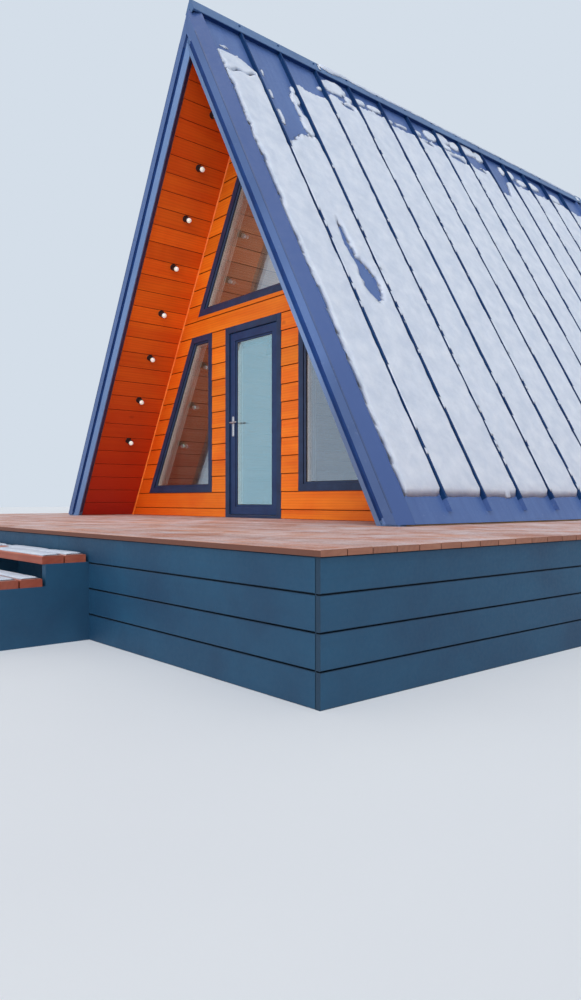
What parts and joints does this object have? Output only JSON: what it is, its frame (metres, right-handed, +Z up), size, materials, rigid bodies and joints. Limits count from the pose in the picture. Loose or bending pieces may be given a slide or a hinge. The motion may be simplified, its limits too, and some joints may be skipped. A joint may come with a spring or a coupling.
{
  "type": "a-frame cabin",
  "caption": "Triangular timber cabin under a steep standing seam roof, glazed gable beneath a deep overhang, glazed swing door, wide deck with steps.",
  "frame": {"origin": "centre of the whole footprint at ground level, under the ridge", "axes": "+Z up, +Y from the porch steps to the rear gable, +X to the right seen from the porch"},
  "size_m": [8.4, 11.13, 5.7686],
  "materials": {
    "skirt_paint": "blue painted boards",
    "pier_concrete": "plain concrete",
    "frame_timber": "sawn softwood",
    "deck_stain": "weathered salmon stain with frost",
    "step_stain": "red-orange stain",
    "floor_wood": "varnished pine",
    "reveal_wood": "clear finished pine lining",
    "gable_stain": "orange stained boards",
    "soffit_stain": "deep orange stained boards",
    "panel_timber": "insulated timber panel",
    "roof_metal": "blue coated standing seam sheet",
    "verge_metal": "blue-grey coated flashing",
    "barge_paint": "pale blue coated flashing",
    "frame_navy": "navy laminated frame profile",
    "window_glass": "clear sealed glazing",
    "hardware_steel": "brushed",
    "light_black": "black lamp holder",
    "light_globe": "opal white globe"
  },
  "bodies": {
    "root": {"skirt_front": "skirt_paint", "skirt_rear": "skirt_paint", "skirt_left": "skirt_paint", "skirt_right": "skirt_paint", "base_piers": "pier_concrete", "base_bearers": "frame_timber", "floor_joists": "frame_timber", "deck_front": "deck_stain", "deck_rear": "deck_stain", "deck_left": "deck_stain", "deck_right": "deck_stain", "step_stringers": "skirt_paint", "step_treads": "step_stain", "cabin_floor": "floor_wood", "loft_joists": "floor_wood", "loft_floor": "floor_wood", "front_wall_left": "gable_stain", "front_wall_right": "gable_stain", "front_wall_upper": "gable_stain", "rear_wall_lower": "gable_stain", "rear_wall_upper": "gable_stain", "roof_lining_left": "soffit_stain", "roof_lining_right": "soffit_stain", "roof_panel_left": "panel_timber", "roof_panel_right": "panel_timber", "roof_sheet_left": "roof_metal", "roof_sheet_right": "roof_metal", "ridge_cap": "roof_metal", "eave_trims": "roof_metal", "verge_caps_front": "verge_metal", "verge_caps_rear": "verge_metal", "barge_boards_front": "barge_paint", "barge_boards_rear": "barge_paint", "front_window_frames": "frame_navy", "front_window_glass": "window_glass", "front_window_linings": "reveal_wood", "rear_window_frames": "frame_navy", "rear_window_glass": "window_glass", "rear_window_linings": "reveal_wood", "door_frame": "frame_navy", "door_threshold": "frame_navy", "hinge_pins": "hardware_steel", "soffit_light_holders": "light_black", "soffit_light_globes": "light_globe"},
    "door": {"door_leaf": "frame_navy", "door_glass": "window_glass", "door_handle": "hardware_steel", "hinge_knuckles": "hardware_steel"}
  },
  "joints": [
    {"name": "door_hinge", "type": "hinge", "parent": "root", "child": "door", "pos_m": [0.4025, -1.489, 1.645], "axis": [0, 0, -1], "range_deg": [0, 95]}
  ]
}
